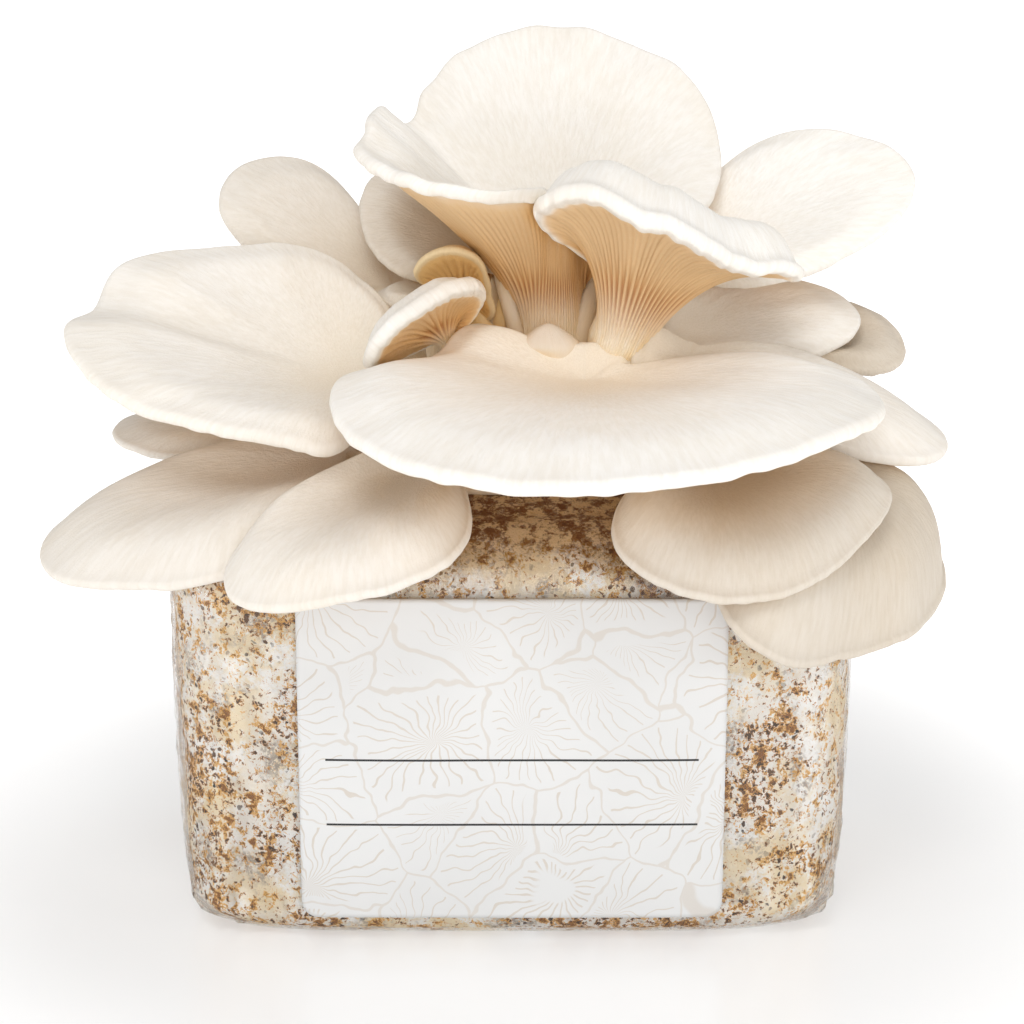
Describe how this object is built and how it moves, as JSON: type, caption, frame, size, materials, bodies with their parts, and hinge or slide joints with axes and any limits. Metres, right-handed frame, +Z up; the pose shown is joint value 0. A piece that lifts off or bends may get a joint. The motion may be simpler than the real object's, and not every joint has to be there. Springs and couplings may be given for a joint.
{
  "type": "oyster mushroom grow kit",
  "caption": "Rectangular brick of colonised growing substrate in a clear film bag with a front label, and a cluster of oyster mushrooms fruiting from its open top.",
  "frame": {"origin": "the centre of the flat bottom of the bag", "axes": "+Z up, -Y out of the labelled front, +X to the right of someone looking at the label"},
  "size_m": [0.2742, 0.1815, 0.2658],
  "materials": {
    "substrate": "matte",
    "film": "gloss",
    "label": "satin",
    "cluster_foot": "matte",
    "mushroom": "satin",
    "young_mushroom": "satin"
  },
  "bodies": {
    "root": {"substrate_block": "substrate", "grow_bag": "film", "label": "label", "cluster_base": "cluster_foot", "cap_crown": "mushroom", "cap_gilled": "mushroom", "cap_right_up": "mushroom", "cap_left_up": "mushroom", "cap_inner_left": "mushroom", "cap_front": "mushroom", "cap_left": "mushroom", "cap_right_mid": "mushroom", "cap_right_back": "mushroom", "cap_right_low": "mushroom", "cap_droop_right": "mushroom", "cap_droop_right_back": "mushroom", "cap_droop_left_back": "mushroom", "cap_droop_left": "mushroom", "cap_left_under": "mushroom", "cap_edge_on": "mushroom", "young_cap_grey": "mushroom", "young_bud_pale": "mushroom", "young_button": "mushroom", "young_stem_pale": "mushroom", "young_cap_pale": "mushroom", "cap_tan_curled": "young_mushroom", "cap_tan_tongue": "young_mushroom", "young_cap_tan": "young_mushroom", "young_bud_tan": "young_mushroom"}
  },
  "joints": []
}
